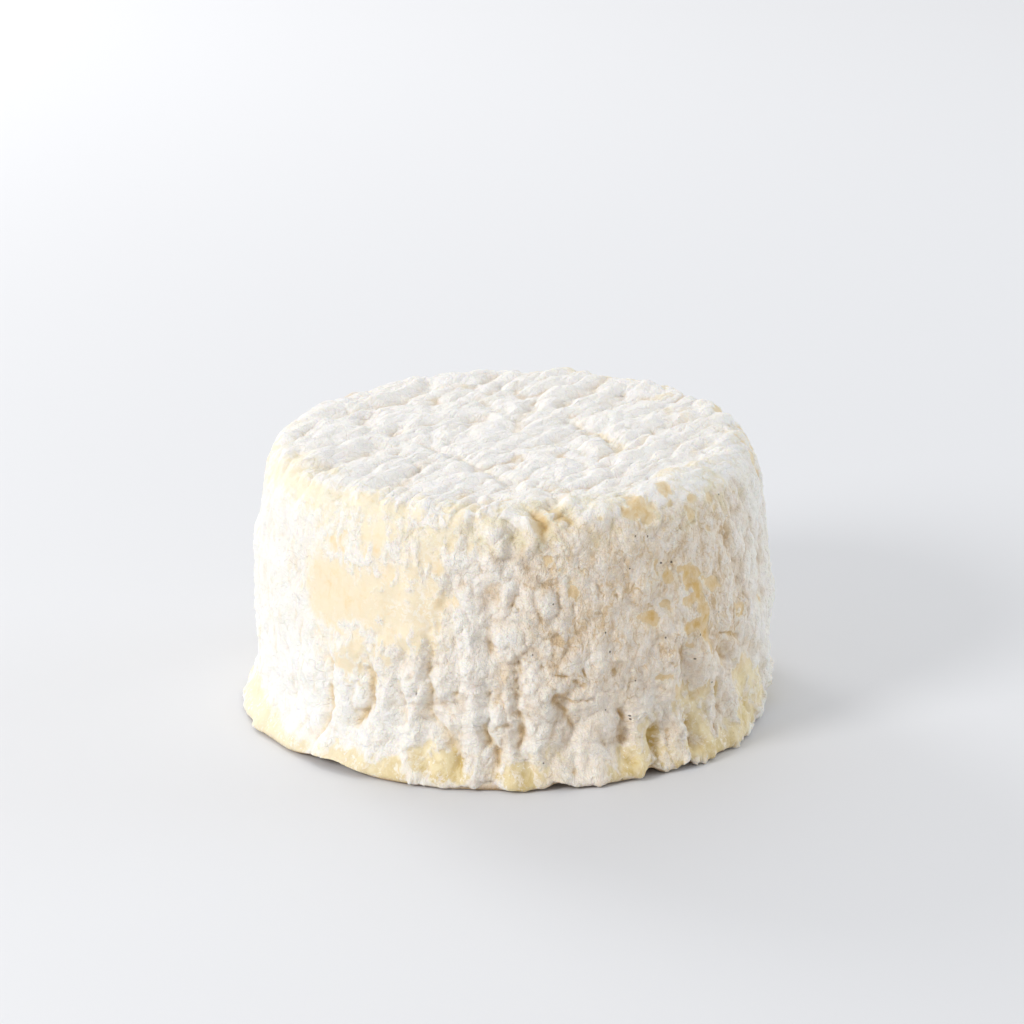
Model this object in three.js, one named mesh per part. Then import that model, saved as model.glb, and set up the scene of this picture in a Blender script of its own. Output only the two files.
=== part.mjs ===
// A small soft-ripened cheese wheel with a bloomy rind, uncut, standing on its flat underside.
// Millimetres, +Z up. The origin is the middle of the underside. Bearings are in degrees round the
// wheel: 0 is the front (-Y), 90 the right (+X), -90 the left and 180 the back.
//
// The wheel is a turned drum, which has slumped a little. Its rind is drawn on the drum as strokes:
// each one is a line of points on the surface, and it raises or sinks the rind along its normal.
import * as THREE from "three";

// ---- Driving sizes ----------------------------------------------------------------------------

const HEIGHT = 57.4; // underside to the rim of the top
const WAIST = 53.5; // radius above the foot
const FOOT = { reach: 1.9, height: 6.6 }; // how far the foot stands out past the waist, and its height
const BELLY = 0.5; // swelling of the side at two fifths of its height
const TAPER = 2.2; // how much narrower the side is just under the shoulder
const SHOULDER = 6.4; // width of the rounded edge of the top
const DISH = 0.8; // how far the middle of the top lies below its rim
const TILT = 0.6; // how much higher the rim stands on the right than in the middle
const LEAN = 0.35; // how much higher it stands at the back
const HEEL = 47.5; // radius of the flat that the wheel rests on

// The foot has crept out over the ground, by up to reach at one bearing, and all round by a share of
// reach more. It is tucked under by up to depth round another bearing.
const CREEP = { reach: 2.7, bearing: -32, everywhere: 0.17, least: -0.25 };
const TUCK = { depth: 3, bearing: 88, half: 34 };

// Where the edge of the foot stands clear of the ground: bearing, half of the width and rise.
const ARCHES = [
  [-40, 13, 2.2],
  [9.6, 4, 1.4],
  [29.5, 4, 1.8],
  [38.3, 3, 2.8],
];

// ---- Strokes ----------------------------------------------------------------------------------

// A point on the side is [bearing, height] and one on the top is [x, y]. A third number lifts the
// point off the surface, in mm, which makes the stroke fade there.

// Crests of the swollen folds that run down the side.
const CRESTS = {
  width: 4.6,
  rise: 1.15,
  paths: [
    [[-62, 13, 3], [-66, 4, 0]],
    [[-51, 17, 2], [-54, 4, 0]],
    [[-39, 24, 1], [-38.5, 14, 0], [-43, 5, 0]],
    [[-28.5, 26, 2], [-28, 15, 0], [-32, 5, 0]],
    [[-21.5, 29, 2], [-21.5, 15, 0], [-22, 4, 1]],
    [[-15, 23, 1], [-11.5, 13, 2], [-15, 5, 1]],
    [[-9, 30, 2], [-9.5, 17, 0.5], [-8, 4, 1]],
    [[-4.5, 54, 0.5], [-4.3, 46, 0.5], [-1.5, 36, 2.5]],
    [[-2, 24, 2], [-2.2, 14, 0], [0.5, 3, 0]],
    [[2.8, 54, 2], [1.8, 46, 1], [7, 36, 0]],
    [[5.4, 19, 1], [6, 9, 0], [6, 2, 2]],
    [[18.5, 11, 2], [17.5, 4, 0]],
    [[27.5, 10, 2], [26.5, 3, 0]],
    [[36.8, 27, 1.5], [36.5, 17, 1]],
    [[38, 8, 1], [35.5, 2, 0.5]],
    [[45, 22, 1], [48, 12, 1]],
    [[47, 8, 2], [45, 2, 0]],
    [[58, 10, 2], [56, 3, 0]],
    [[71, 9, 2.6], [69, 5, 3]],
    [[89, 5, 1], [86, 4.5, 1.4]],
    [[89, 24, 0.8], [91, 21, 0.4]],
    [[-90, 34, 0.2], [-91, 37, 0.6]],
  ],
};

// Clefts between the folds.
const CLEFTS = {
  width: 2.3,
  depth: 2.1,
  paths: [
    [[-56, 14, 0.8], [-57, 5, 1.2]],
    [[-44, 25, 1], [-43.3, 13, 0], [-45, 9, 0.6], [-48, 2, 1]],
    [[-31.5, 28, 1], [-32.8, 22, 0], [-31.6, 15, 0.5], [-36.5, 10, 0.5]],
    [[-24.3, 27, 1.2], [-25.3, 17, 0.6], [-24.5, 12, 0.3], [-27.5, 7, 1.3]],
    [[-18.8, 31, 1.3], [-17.8, 20, 0.7], [-17.8, 15, 0.4], [-13, 9, 0.8], [-10.8, 5, 1]],
    [[-11, 50, 1.2], [-13.8, 40, 0.7], [-16.3, 31, 0.8]],
    [[-12.6, 27, 1.3], [-12.6, 18, 1]],
    [[0.3, 49, 0.9], [-0.4, 54, 0.9], [-5, 55.8, 1], [-7.7, 53.5, 0.5], [-7.5, 49, 0.8]],
    [[-5.6, 38, 1.1], [-5.6, 33, 0.9], [-3.6, 28.5, 1.1]],
    [[-5.7, 21, 0.9], [-6, 13, 0], [-3.6, 7, 0.6], [-4.4, 1, 0.6]],
    [[1, 26, 1.3], [1.3, 19, 1], [2.2, 14, 0.4], [1.9, 8, 0.6]],
    [[3.2, 57, 0.9], [7.4, 53.6, 0.5]],
    [[9.3, 59, 0.9], [13, 55, 1]],
    [[9, 17, 1], [11.6, 14.2, 0], [13.4, 12, 0.7]],
    [[12, 9, 1.4], [12.5, 2, 1.2]],
    [[23.4, 14, 0], [24.2, 10, 0.7], [24.9, 5, 1.4]],
    [[34.5, 9.7, 1], [31.6, 7.5, 0.2], [30.8, 3, 0.2], [29.6, 0.6, 0.4]],
    [[38.8, 26, 0.5], [39.6, 20, 0], [42.5, 15, 1.3]],
    [[40.4, 9, 0.9], [41.4, 5, 0.6]],
    [[52.4, 22, 0.6], [54.6, 19, 0.5]],
    [[50, 13.6, 0.6], [51.2, 12.2, 0.9]],
    [[62.5, 8, 1.2], [63.5, 2, 0.8]],
    [[76, 10, 1], [79, 5, 0.2], [80.5, 1, 0]],
  ],
};

// Creases of the top, where the rind has sunk into the marks of the ripening mat.
const CREASES = {
  width: 2.7,
  depth: 1.3,
  paths: [
    [[-40, -25, 0.8], [-33.5, -14, 0.5]],
    [[-47, -3, 1], [-42, 8, 1]],
    [[-39, 14, 0.4], [-31, 22, 0.2], [-22, 28, 0.7], [-18, 33, 1.2]],
    [[-31.5, 9, 0.6], [-30.5, 17, 0.5]],
    [[-27, -36, 0.6], [-21, -28, 0], [-17.5, -16, 0.9]],
    [[-35, -17, 1], [-28, -5, 1]],
    [[-10.5, -43, 0.3], [-5.5, -44, 0.3], [0, -36.5, 0.6]],
    [[1.5, -49.5, 0.5], [10, -41, 0.2], [17, -31, 0.3], [23.5, -25.5, 1.1]],
    [[9, -31, 1.3], [19, -20, 0.9]],
    [[26, -10, 0.9], [28.5, -3, 0.6], [34, 5, 0.4], [42, 12.5, 1]],
    [[33, -11, 1.1], [36.5, -5.5, 0.8], [44, 1, 0.9]],
    [[36, -19, 0.9], [38, -13, 0.7], [42, -9, 0.8]],
    [[0, 5, 1.1], [1.5, 12, 0.5], [3.5, 20, 0.9]],
    [[10, 21, 0.6], [17, 33, 0.2], [21, 44, 0.7]],
    [[-8.5, 36, 0.4], [-3, 45, 0.8]],
    [[-20, 31, 1], [-18, 39, 1.1]],
    [[-5.5, 30, 0.9], [0, 39, 0.8]],
    [[22, 19.5, 0.5], [23, 29, 0.7]],
    [[33, 10, 0.8], [38, 17, 0.7]],
    [[-13, 6, 0.9], [-5.5, 13, 0.7]],
    [[-19, -3.5, 1.2], [-12.5, -11.5, 0.8], [-6.5, -21.5, 0.4], [-2, -28, 0.3], [0, -33, 0.6]],
    [[12, 13.5, 0.5], [15, 6, 0.4]],
    [[18, 2.5, 0.5], [23, -9.5, 0.3]],
    [[9, -2, 1.2], [14.5, -12, 1]],
    [[-8, 27, 1.2], [-0.5, 16, 1.1]],
    [[-26, 2, 1.1], [-24, 8, 1.1]],
  ],
};

// Round the sides and the back, where no stroke is drawn by hand, folds and clefts follow by rule.
const UNDRAWN = { from: 100, to: 251, step: 8.6, seed: 5 };

// Low swells everywhere: their rise, and how many there are round the wheel and up its side.
const SWELLS = { rise: 0.34, round: 26, up: 0.36 };
const PILLOWS = { rise: 0.42, rows: 9.6, along: 15, bearing: 50 }; // puffs along the mat's lines
const SCALLOPS = { depth: 0.7, round: 31, height: 4.5 }; // notches in the shoulder

// ---- Small maths ------------------------------------------------------------------------------

const radians = THREE.MathUtils.degToRad;
const smooth = THREE.MathUtils.smoothstep;

// A smooth hump: 1 at 0, falling to 0 where the distance reaches 1.
const hump = (distance) => 1 - smooth(Math.abs(distance), 0, 1);

// Numbers from 0 to 1 that are the same on every run.
function seeded(seed) {
  let state = seed;
  return () => {
    state = (state * 16807) % 2147483647;
    return state / 2147483647;
  };
}

// ---- Drum -------------------------------------------------------------------------------------

// Half of the section, from the edge of the resting face round the foot, side and shoulder.
const TOP_RADIUS = WAIST - TAPER - SHOULDER;
const section = new THREE.SplineCurve([
  new THREE.Vector2(WAIST + FOOT.reach - 1.6, 0),
  new THREE.Vector2(WAIST + FOOT.reach - 0.5, 0.6),
  new THREE.Vector2(WAIST + FOOT.reach, FOOT.height * 0.33),
  new THREE.Vector2(WAIST + FOOT.reach * 0.35, FOOT.height),
  new THREE.Vector2(WAIST, FOOT.height * 1.9),
  new THREE.Vector2(WAIST + BELLY, HEIGHT * 0.42),
  new THREE.Vector2(WAIST - TAPER * 0.35, HEIGHT * 0.7),
  new THREE.Vector2(WAIST - TAPER, HEIGHT - SHOULDER * 0.8),
  new THREE.Vector2(WAIST - TAPER - SHOULDER * 0.4, HEIGHT - SHOULDER * 0.17),
  new THREE.Vector2(TOP_RADIUS, HEIGHT),
]);

// A point of the turned drum and its outward normal. On the side, share runs from 0 at the edge of
// the resting face to 1 at the rim of the top.
function sideOfDrum(bearing, share) {
  const a = radians(bearing);
  const at = section.getPointAt(share);
  const along = section.getTangentAt(share);
  return {
    point: new THREE.Vector3(at.x * Math.sin(a), -at.x * Math.cos(a), at.y),
    normal: new THREE.Vector3(along.y * Math.sin(a), -along.y * Math.cos(a), -along.x),
  };
}

function topOfDrum(x, y) {
  const share = Math.hypot(x, y) / TOP_RADIUS;
  return {
    point: new THREE.Vector3(x, y, HEIGHT - DISH * Math.max(0, 1 - share ** 2)),
    normal: new THREE.Vector3(0, 0, 1),
  };
}

// Where on the section the side reaches a height.
function shareAtHeight(z) {
  let [low, high] = [0, 1];
  for (let i = 0; i < 20; i++) {
    const middle = (low + high) / 2;
    if (section.getPointAt(middle).y < z) low = middle;
    else high = middle;
  }
  return low;
}

// The wheel has slumped: its foot has crept out, its outline isn't quite round and its top leans.
function slumped(p) {
  const up = p.z / HEIGHT;
  const a = Math.atan2(p.x, -p.y);
  const outward = Math.max(Math.cos(a - radians(CREEP.bearing)) + CREEP.everywhere, CREEP.least);
  const inward = TUCK.depth * hump((a - radians(TUCK.bearing)) / radians(TUCK.half));
  const creep = Math.exp(-2.8 * (p.z / FOOT.height) ** 2) * (CREEP.reach * outward - inward);
  const outOfRound = 0.3 * Math.sin(2 * a + 2.6) + 0.3 * Math.sin(3 * a + 0.3);
  const squeeze = up ** 6 * (0.9 * Math.cos(2 * a - 0.5) - 0.25 * Math.sin(a));
  const spread = 1 + (creep + outOfRound * up + squeeze) / WAIST;
  return new THREE.Vector3(
    p.x * spread,
    p.y * spread,
    p.z + up ** 4 * ((TILT * p.x + LEAN * p.y) / TOP_RADIUS),
  );
}

// ---- Rind -------------------------------------------------------------------------------------

const onSide = ([bearing, height, lift = 0]) => {
  const { point, normal } = sideOfDrum(bearing, shareAtHeight(Math.min(height, HEIGHT - 0.2)));
  return point.addScaledVector(normal, lift);
};
const onTop = ([x, y, lift = 0]) => {
  const { point, normal } = topOfDrum(x, y);
  return point.addScaledVector(normal, lift);
};

// The stretches of a set of strokes, as lines in space.
const stretches = (paths, place) =>
  paths.flatMap((path) => path.slice(1).map((p, i) => new THREE.Line3(place(path[i]), place(p))));

// Folds and clefts for the part of the side that has none drawn.
function undrawnFolds() {
  const random = seeded(UNDRAWN.seed);
  const crests = [];
  const clefts = [];
  for (let b = UNDRAWN.from; b < UNDRAWN.to; b += UNDRAWN.step * (0.75 + 0.5 * random())) {
    const top = 13 + 22 * random() ** 2;
    const sway = 5 * (random() - 0.5);
    clefts.push([[b + sway, top, 1.2], [b, 10, 0.8 * random()], [b - sway, 1, 0.4 + 0.8 * random()]]);
    const crest = b + UNDRAWN.step * 0.5;
    crests.push([[crest + sway, top + 4 * random(), 2], [crest, 8, random()], [crest - sway, 3, random()]]);
  }
  return { crests, clefts };
}

const undrawn = undrawnFolds();
const crestLines = stretches([...CRESTS.paths, ...undrawn.crests], onSide);
const cleftLines = stretches([...CLEFTS.paths, ...undrawn.clefts], onSide);
const creaseLines = stretches(CREASES.paths, onTop);

const nearest = new THREE.Vector3();
const distanceTo = (lines, point) =>
  lines.reduce((least, line) => {
    line.closestPointToPoint(point, true, nearest);
    return Math.min(least, nearest.distanceTo(point));
  }, Infinity);

function swells({ x, y, z }) {
  const a = Math.atan2(x, -y);
  return (
    SWELLS.rise *
    Math.sin(SWELLS.round * a + 2.1 * Math.sin(z * 0.19 + 3 * a)) *
    Math.sin(SWELLS.up * z + 1.6 * Math.sin(11 * a + 0.9))
  );
}

function pillows({ x, y }) {
  const b = radians(PILLOWS.bearing);
  const along = (x * Math.cos(b) + y * Math.sin(b)) / PILLOWS.along;
  const across = (y * Math.cos(b) - x * Math.sin(b)) / PILLOWS.rows;
  return (
    PILLOWS.rise *
    Math.sin(2 * Math.PI * across + 1.4 * Math.sin(9 * along)) *
    (0.55 + 0.45 * Math.sin(2 * Math.PI * along + 1.9 * Math.sin(4.7 * across + 2)))
  );
}

function scallops({ x, y, z }) {
  const a = Math.atan2(x, -y);
  const notch = (0.5 + 0.5 * Math.sin(SCALLOPS.round * a + 2.2 * Math.sin(5 * a + 0.7))) ** 2;
  const atRim = smooth(Math.hypot(x, y), TOP_RADIUS - 12, TOP_RADIUS);
  return -SCALLOPS.depth * notch * atRim * hump((z - HEIGHT + SCALLOPS.height * 0.6) / SCALLOPS.height);
}

// How far the rind stands out of the drum at a point of it. Strokes that meet don't add up.
function relief(point) {
  const toTop = smooth(point.z, HEIGHT - 5, HEIGHT - 1);
  return (
    (1 - toTop) * swells(point) +
    toTop * smooth(Math.hypot(point.x, point.y), 0, 12) * pillows(point) +
    scallops(point) +
    CRESTS.rise * hump(distanceTo(crestLines, point) / CRESTS.width) -
    CLEFTS.depth * hump(distanceTo(cleftLines, point) / CLEFTS.width) -
    CREASES.depth * hump(distanceTo(creaseLines, point) / CREASES.width)
  );
}

function arch({ x, y, z }) {
  const bearing = THREE.MathUtils.radToDeg(Math.atan2(x, -y));
  const rises = ARCHES.map(([middle, half, rise]) => rise * hump((bearing - middle) / half));
  return Math.max(...rises) * Math.exp(-z / 1.6);
}

// The finished surface over a point of the drum. Nothing reaches under the resting face.
function skinOver({ point, normal }) {
  const grown = smooth(point.z, -0.01, 1.2);
  const made = slumped(point.clone().addScaledVector(normal, relief(point) * grown));
  made.z = Math.max(0, made.z + arch(point));
  return made;
}

// ---- Mesh -------------------------------------------------------------------------------------

const COLUMNS = 168; // vertices round the side; the rings of the top halve them on the way in
const SIDE_ROWS = 22;
const CLOSER_DOWN = 1.2; // above 1, the rows lie closer towards the foot
const TOP_RINGS = 20;
const HALVE_UNDER = [0.72, 0.36, 0.16]; // of the top's radius

// Collects rings of vertices and the faces between them.
class Skin {
  positions = [];
  triangles = [];

  ring(count, pointAt) {
    const first = this.positions.length / 3;
    for (let i = 0; i < count; i++) this.positions.push(...pointAt((360 * i) / count));
    return { first, count };
  }

  // Joins a ring to the next one in, which has as many vertices or half as many.
  join(outer, inner) {
    const o = (i) => outer.first + (i % outer.count);
    const n = (i) => inner.first + (i % inner.count);
    for (let i = 0; i < inner.count; i++) {
      if (outer.count === inner.count) {
        this.triangles.push(o(i), o(i + 1), n(i + 1), o(i), n(i + 1), n(i));
      } else {
        this.triangles.push(o(2 * i), o(2 * i + 1), n(i));
        this.triangles.push(o(2 * i + 1), o(2 * i + 2), n(i + 1));
        this.triangles.push(o(2 * i + 1), n(i + 1), n(i));
      }
    }
  }

  // Closes a ring with a fan round one point. A fan under the wheel turns the other way.
  close(ring, point, under = false) {
    const middle = this.positions.length / 3;
    this.positions.push(...point);
    for (let i = 0; i < ring.count; i++) {
      const a = ring.first + i;
      const b = ring.first + ((i + 1) % ring.count);
      this.triangles.push(...(under ? [b, a, middle] : [a, b, middle]));
    }
  }

  geometry() {
    const made = new THREE.BufferGeometry();
    made.setAttribute("position", new THREE.Float32BufferAttribute(this.positions, 3));
    made.setIndex(this.triangles);
    made.computeVertexNormals();
    return made;
  }
}

function wheelGeometry() {
  const skin = new Skin();
  let ring = skin.ring(COLUMNS, (bearing) => {
    const a = radians(bearing);
    return [HEEL * Math.sin(a), -HEEL * Math.cos(a), 0];
  });
  skin.close(ring, [0, 0, 0], true);

  for (let row = 0; row <= SIDE_ROWS; row++) {
    const share = (row / SIDE_ROWS) ** CLOSER_DOWN;
    const next = skin.ring(COLUMNS, (bearing) => skinOver(sideOfDrum(bearing, share)));
    skin.join(ring, next);
    ring = next;
  }

  for (let i = TOP_RINGS - 1; i > 0; i--) {
    const share = i / TOP_RINGS;
    const halvings = HALVE_UNDER.filter((limit) => share < limit).length;
    const next = skin.ring(COLUMNS / 2 ** halvings, (bearing) => {
      const a = radians(bearing);
      return skinOver(topOfDrum(TOP_RADIUS * share * Math.sin(a), -TOP_RADIUS * share * Math.cos(a)));
    });
    skin.join(ring, next);
    ring = next;
  }
  skin.close(ring, skinOver(topOfDrum(0, 0)));
  return skin.geometry();
}

function bloomyRind() {
  return new THREE.MeshStandardMaterial({ color: 0xf1e9dc, roughness: 0.82, metalness: 0 });
}

const cheese = new THREE.Group();
const wheel = new THREE.Mesh(wheelGeometry(), bloomyRind());
wheel.name = "cheese_wheel";
cheese.add(wheel);

export default cheese;
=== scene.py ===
import math

import bpy
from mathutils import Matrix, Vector


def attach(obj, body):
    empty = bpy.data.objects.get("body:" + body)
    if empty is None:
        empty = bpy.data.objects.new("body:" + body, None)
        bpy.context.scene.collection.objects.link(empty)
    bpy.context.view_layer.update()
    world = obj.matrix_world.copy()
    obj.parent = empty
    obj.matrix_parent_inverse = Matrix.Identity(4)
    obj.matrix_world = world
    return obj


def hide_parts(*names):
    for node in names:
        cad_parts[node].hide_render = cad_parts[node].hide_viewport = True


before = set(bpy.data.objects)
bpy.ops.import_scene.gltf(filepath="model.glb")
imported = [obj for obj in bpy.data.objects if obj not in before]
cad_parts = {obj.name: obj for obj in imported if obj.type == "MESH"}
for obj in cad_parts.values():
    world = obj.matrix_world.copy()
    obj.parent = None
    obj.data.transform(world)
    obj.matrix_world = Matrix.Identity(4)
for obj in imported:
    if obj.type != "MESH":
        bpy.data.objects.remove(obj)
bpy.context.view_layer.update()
print("frame loaded")

# The cheese is worked out in millimetres and made in metres. Bearings are in degrees round the
# wheel: 0 is the front (-Y), 90 the right (+X), -90 the left and 180 the back.
mm = 0.001
noiseGain = 3.2  # brings a noise texture, less a half, to about -1 to 1


class Wire:  # a socket in a node tree, with maths
    def __init__(self, tree, socket=None):
        self.tree = tree
        self.socket = socket

    def node(self, kind, settings=None, inputs=None, output=0):
        made = self.tree.nodes.new(kind)
        for name, value in (settings or {}).items():
            setattr(made, name, value)
        for name, value in (inputs or {}).items():
            if isinstance(value, Wire):
                self.tree.links.new(value.socket, made.inputs[name])
            else:
                made.inputs[name].default_value = value
        return Wire(self.tree, made.outputs[output])

    def maths(self, operation, *values):
        parts = [self, *values]
        isVector = any(isinstance(p, Wire) and p.socket.type in ("VECTOR", "RGBA") for p in parts)
        if isVector:
            parts = [p if isinstance(p, (Wire, tuple)) else (p, p, p) for p in parts]
        kind = "ShaderNodeVectorMath" if isVector else "ShaderNodeMath"
        return self.node(kind, {"operation": operation}, dict(enumerate(parts)))

    def __add__(self, other):
        return self.maths("ADD", other)

    def __radd__(self, other):
        return self.maths("ADD", other)

    def __mul__(self, other):
        return self.maths("MULTIPLY", other)

    def __rmul__(self, other):
        return self.maths("MULTIPLY", other)

    def __sub__(self, other):
        return self.maths("SUBTRACT", other)

    def __rsub__(self, other):
        return self * -1 + other

    def __truediv__(self, other):
        return self * (1 / other)

    def sin(self):
        return self.maths("SINE")

    def power(self, exponent):
        return self.maths("POWER", exponent)

    def smaller(self, other):
        return self.maths("MINIMUM", other)

    def larger(self, other):
        return self.maths("MAXIMUM", other)

    def split(self):
        return [self.node("ShaderNodeSeparateXYZ", inputs={0: self}, output=i) for i in range(3)]

    def ramp(self, low, high, start=0.0, end=1.0):  # eased from start at low to end at high
        places = {0: self, 1: low, 2: high, 3: start, 4: end}
        return self.node("ShaderNodeMapRange", {"interpolation_type": "SMOOTHSTEP"}, places)

    def hump(self):  # 1 at 0, falling to 0 at 1 and -1
        return self.maths("ABSOLUTE").ramp(0, 1, 1, 0)

    def notch(self):  # the same, but pointed at 0
        return (1 - self.maths("ABSOLUTE")).larger(0).power(1.6)

    def between(self, low, high, soft):  # 1 from low to high, fading to 0 over soft outside them
        return self.ramp(low - soft, low) * self.ramp(high + soft, high)

    def mix(self, first, second):  # self is the share of the second
        isColour = any(
            isinstance(v, tuple) or isinstance(v, Wire) and v.socket.type != "VALUE" for v in (first, second)
        )
        if isColour:
            first, second = [(*v, 1) if isinstance(v, tuple) else v for v in (first, second)]
            return self.node("ShaderNodeMix", {"data_type": "RGBA"}, {0: self, 6: first, 7: second}, 2)
        return self.node("ShaderNodeMix", {}, {0: self, 2: first, 3: second})

    def noise(self, size, detail, roughness, twist, stretch, seed):
        # About -1 to 1. The size is the width of its lumps, in the units of self.
        across = tuple(1 / (size * s) for s in stretch)
        place = self * across + (seed, seed * 1.7, -seed)
        shape = {"Detail": detail, "Roughness": roughness, "Distortion": twist}
        sockets = {"Vector": place, "Scale": 1.0, **shape}
        return (self.node("ShaderNodeTexNoise", {}, sockets) - 0.5) * noiseGain

    def warped(self, size, by, seed):  # the place, moved to and fro by a noise of this size
        sockets = {"Vector": self / size + (seed, -seed, seed * 0.7), "Scale": 1.0, "Detail": 1.0}
        return self + (self.node("ShaderNodeTexNoise", {}, sockets, "Color") - 0.5) * (by * noiseGain)

    def billows(self, size, stretch, seed, crisp):  # 0 in narrow creases, up to 1 between
        lumps = self.noise(size, 0, 0, 0, stretch, seed).maths("ABSOLUTE") * 1.5
        return lumps.smaller(1).power(crisp)

    def turned(self, degrees):  # the place, turned about the vertical
        turn = {"Vector": self, "Angle": math.radians(degrees)}
        return self.node("ShaderNodeVectorRotate", {"rotation_type": "Z_AXIS"}, turn)


drum = {  # millimetres; the solid's own sizes, down to the heel
    "height": 57.4,
    "waist": 53.5,
    "footReach": 1.9,
    "footHeight": 6.6,
    "belly": 0.5,
    "taper": 2.2,
    "shoulder": 6.4,
    "dish": 0.8,
    "tilt": 0.6,
    "lean": 0.35,
    "heel": 47.5,
    "sectionSteps": 8,
    "spinSteps": 180,
    "topRings": 24,
    "grain": 0.42,  # width of a face while the relief is worked
    "triangles": 190000,  # most that the finished rind may have
}
topRadius = drum["waist"] - drum["taper"] - drum["shoulder"]


def sectionKnots():
    waist, reach, foot = drum["waist"], drum["footReach"], drum["footHeight"]
    taper, shoulder, height = drum["taper"], drum["shoulder"], drum["height"]
    return [
        (waist + reach - 1.6, 0),
        (waist + reach - 0.5, 0.6),
        (waist + reach, foot * 0.33),
        (waist + reach * 0.35, foot),
        (waist, foot * 1.9),
        (waist + drum["belly"], height * 0.42),
        (waist - taper * 0.35, height * 0.7),
        (waist - taper, height - shoulder * 0.8),
        (waist - taper - shoulder * 0.4, height - shoulder * 0.17),
        (topRadius, height),
    ]


def smoothChain(knots, steps):  # a curve through the knots, with this many steps between two
    chain = []
    final = len(knots) - 1
    for i in range(final):
        nearest = (min(max(j, 0), final) for j in range(i - 1, i + 3))
        before, start, end, after = (Vector(knots[j]) for j in nearest)
        for step in range(steps):
            t = step / steps
            into, out = (end - before) / 2, (after - start) / 2
            bend = (2 * start - 2 * end + into + out) * t**3
            bend += (3 * end - 3 * start - 2 * into - out) * t**2
            chain.append(bend + into * t + start)
    return [*chain, Vector(knots[-1])]


section = smoothChain(sectionKnots(), drum["sectionSteps"])


def topHeight(radius):
    return drum["height"] - drum["dish"] * max(0, 1 - (radius / topRadius) ** 2)


def deselectAll():
    if bpy.context.object and bpy.context.object.mode != "OBJECT":
        bpy.ops.object.mode_set(mode="OBJECT")
    bpy.ops.object.select_all(action="DESELECT")


def turnDrum():
    outline = [Vector((0, 0)), Vector((drum["heel"], 0)), *section]
    for i in range(1, drum["topRings"] + 1):
        radius = topRadius * (1 - i / drum["topRings"])
        outline.append(Vector((radius, topHeight(radius))))
    deselectAll()
    bpy.ops.mesh.primitive_plane_add(size=mm)
    wheel = bpy.context.object
    wheel.name = "rind"
    bpy.ops.object.mode_set(mode="EDIT")
    bpy.ops.mesh.merge(type="CENTER")
    for last, place in zip(outline, outline[1:]):
        step = (place - last) * mm
        bpy.ops.mesh.extrude_region_move(TRANSFORM_OT_translate={"value": (step.x, 0, step.y)})
    bpy.ops.mesh.select_all(action="SELECT")
    bpy.ops.mesh.spin(steps=drum["spinSteps"], angle=math.tau, center=(0, 0, 0), axis=(0, 0, 1))
    bpy.ops.mesh.select_all(action="SELECT")
    bpy.ops.mesh.remove_doubles(threshold=0.01 * mm)
    bpy.ops.mesh.normals_make_consistent(inside=False)
    bpy.ops.object.mode_set(mode="OBJECT")
    remesh = wheel.modifiers.new("even faces", "REMESH")
    remesh.mode = "VOXEL"
    remesh.voxel_size = drum["grain"] * mm
    bpy.ops.object.modifier_apply(modifier=remesh.name)
    return wheel


# The rind is drawn on the drum as strokes: each is a line of points on the surface. A point on the
# side is [bearing, height] and one on the top is [x, y]. A third number lifts the point off the
# surface, which makes the stroke fade there.
crests = {  # of the swollen folds that run down the side
    "reach": 4.6,
    "rise": 1.15,
    "paths": [
        [[-62, 13, 3], [-66, 4, 0]],
        [[-51, 17, 2], [-54, 4, 0]],
        [[-39, 24, 1], [-38.5, 14, 0], [-43, 5, 0]],
        [[-28.5, 26, 2], [-28, 15, 0], [-32, 5, 0]],
        [[-21.5, 29, 1], [-21.5, 15, 0], [-22, 4, 1]],
        [[-15, 23, 1], [-11.5, 13, 2], [-15, 5, 1]],
        [[-9, 30, 2], [-9.5, 17, 0.5], [-8, 4, 1]],
        [[-4.5, 54, 0.5], [-4.3, 46, 0.5], [-1.5, 36, 2.5]],
        [[-2, 24, 2], [-2.2, 14, 0], [0.5, 3, 0]],
        [[2.8, 54, 2], [1.8, 46, 1], [7, 36, 0]],
        [[5.4, 19, 1], [6, 9, 0], [6, 2, 2]],
        [[18.5, 11, 2], [17.5, 4, 0]],
        [[27.5, 10, 2], [26.5, 3, 0]],
        [[36.8, 27, 1.5], [36.5, 17, 1]],
        [[38, 8, 1], [35.5, 2, 0.5]],
        [[45, 22, 1], [48, 12, 1]],
        [[47, 8, 2], [45, 2, 0]],
        [[58, 10, 2], [56, 3, 0]],
        [[71, 9, 2.6], [69, 5, 3]],
        [[89, 5, 1], [86, 4.5, 1.4]],
        [[89, 24, 0.8], [91, 21, 0.4]],
        [[-90, 34, 0.2], [-91, 37, 0.6]],
    ],
}
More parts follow.
